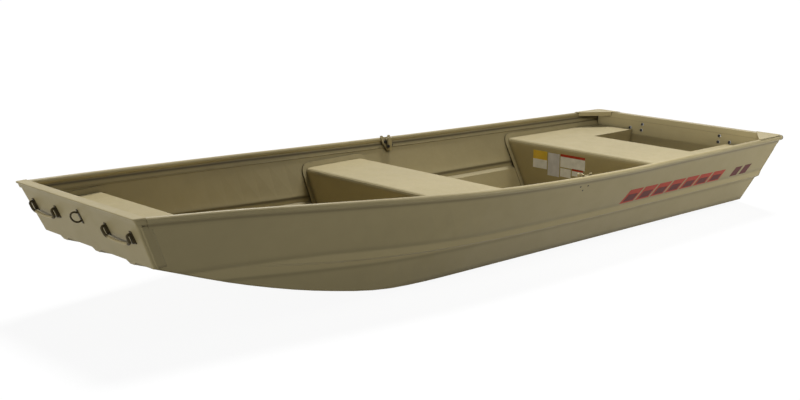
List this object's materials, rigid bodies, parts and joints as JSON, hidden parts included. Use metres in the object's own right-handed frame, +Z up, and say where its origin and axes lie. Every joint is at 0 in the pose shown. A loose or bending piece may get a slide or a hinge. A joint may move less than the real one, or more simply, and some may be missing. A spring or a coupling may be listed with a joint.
{
  "type": "jon boat",
  "caption": "Open flat-bottomed jon boat in painted sheet aluminium, with flared sides, a raked bow panel, box benches, a bow deck, a motor well, carrying handles and oarlock sockets.",
  "frame": {"origin": "centre of the bounding box's bottom face, on the floor under the hull", "axes": "+X towards the bow, +Y to port, +Z up"},
  "size_m": [3.6944, 1.2808, 0.467],
  "materials": {
    "hull_paint": "satin paint",
    "fitting_paint": "satin paint over cast and bent metal",
    "board_paint": "painted plywood",
    "plug_grey": "moulded",
    "drain_brass": "worn"
  },
  "bodies": {
    "root": {"aft_bench": "hull_paint", "bottom_sheet": "hull_paint", "bow_cap": "hull_paint", "bow_deck": "hull_paint", "bow_eye": "fitting_paint", "bow_handle_port": "fitting_paint", "bow_handle_starboard": "fitting_paint", "bow_panel": "hull_paint", "centre_bench": "hull_paint", "corner_gusset_port": "hull_paint", "corner_gusset_starboard": "hull_paint", "drain_plug": "drain_brass", "gunwale_plug_port": "plug_grey", "gunwale_plug_starboard": "plug_grey", "gunwale_port": "hull_paint", "gunwale_starboard": "hull_paint", "oarlock_socket_port": "fitting_paint", "oarlock_socket_starboard": "fitting_paint", "side_sheet_port": "hull_paint", "side_sheet_starboard": "hull_paint", "stern_eye_port": "fitting_paint", "stern_eye_starboard": "fitting_paint", "transom_board": "board_paint", "transom_cap": "hull_paint", "transom_sheet": "hull_paint"}
  },
  "joints": []
}
